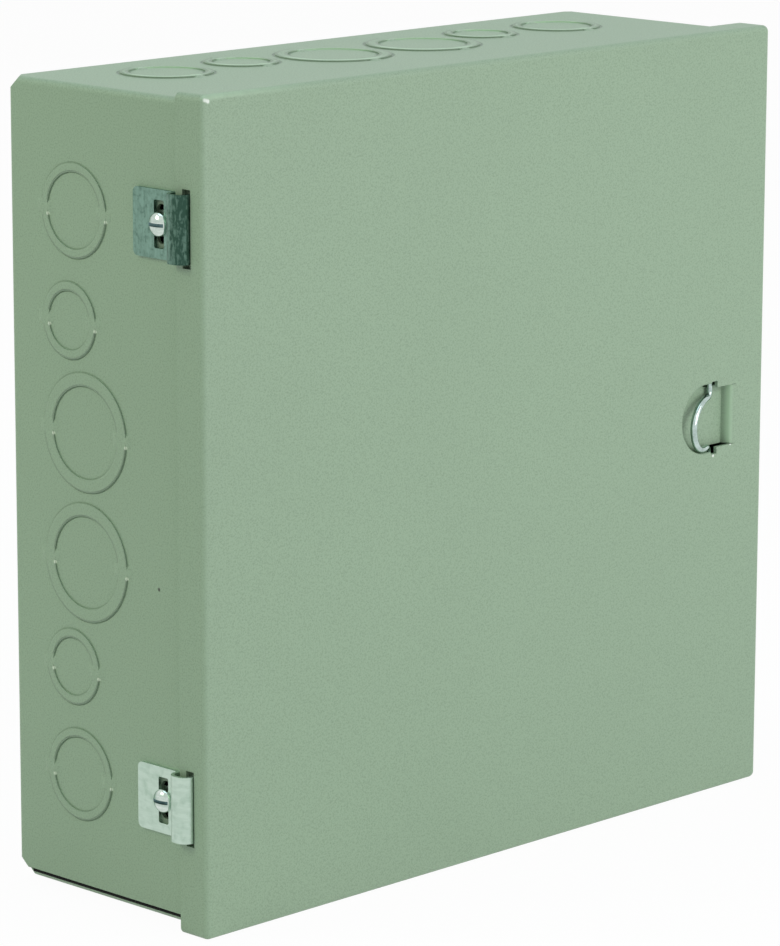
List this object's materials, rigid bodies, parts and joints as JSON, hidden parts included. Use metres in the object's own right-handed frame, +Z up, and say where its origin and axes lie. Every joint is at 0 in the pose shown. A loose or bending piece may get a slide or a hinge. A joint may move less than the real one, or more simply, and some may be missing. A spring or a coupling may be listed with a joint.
{
  "type": "electrical enclosure",
  "caption": "Square wall-mounted sheet steel junction box with a hinged tray cover, pinless hook hinges, concentric knockouts and a flush pull-ring latch.",
  "frame": {"origin": "centre of the mounting hole pattern, on the wall plane behind the back plate", "axes": "+X to the viewer's right, +Z up, the cover faces -Y"},
  "size_m": [0.314, 0.1098, 0.3096],
  "materials": {
    "paint": "satin grey-green powder coat",
    "zinc": "zinc plated",
    "screw": "bright plated",
    "chrome": "bright plated wire"
  },
  "bodies": {
    "box": {"box_wrap": "paint", "back_plate": "paint", "latch_strike": "paint", "upper_hinge_leaf": "zinc", "lower_hinge_leaf": "zinc", "upper_hinge_screw": "screw", "lower_hinge_screw": "screw", "upper_hinge_nut": "zinc", "lower_hinge_nut": "zinc"},
    "door": {"cover": "paint", "upper_latch_keeper": "zinc", "lower_latch_keeper": "zinc"},
    "latch": {"latch_ring": "chrome", "latch_catch": "zinc"}
  },
  "joints": [
    {"name": "cover_swing", "type": "hinge", "parent": "box", "child": "door", "pos_m": [-0.1548, -0.0955, 0], "axis": [0, 0, -1], "range_deg": [0, 130]},
    {"name": "ring_pull", "type": "hinge", "parent": "door", "child": "latch", "pos_m": [0.12485, -0.1049, 0], "axis": [0, 0, 1], "range_deg": [-15, 65]}
  ]
}
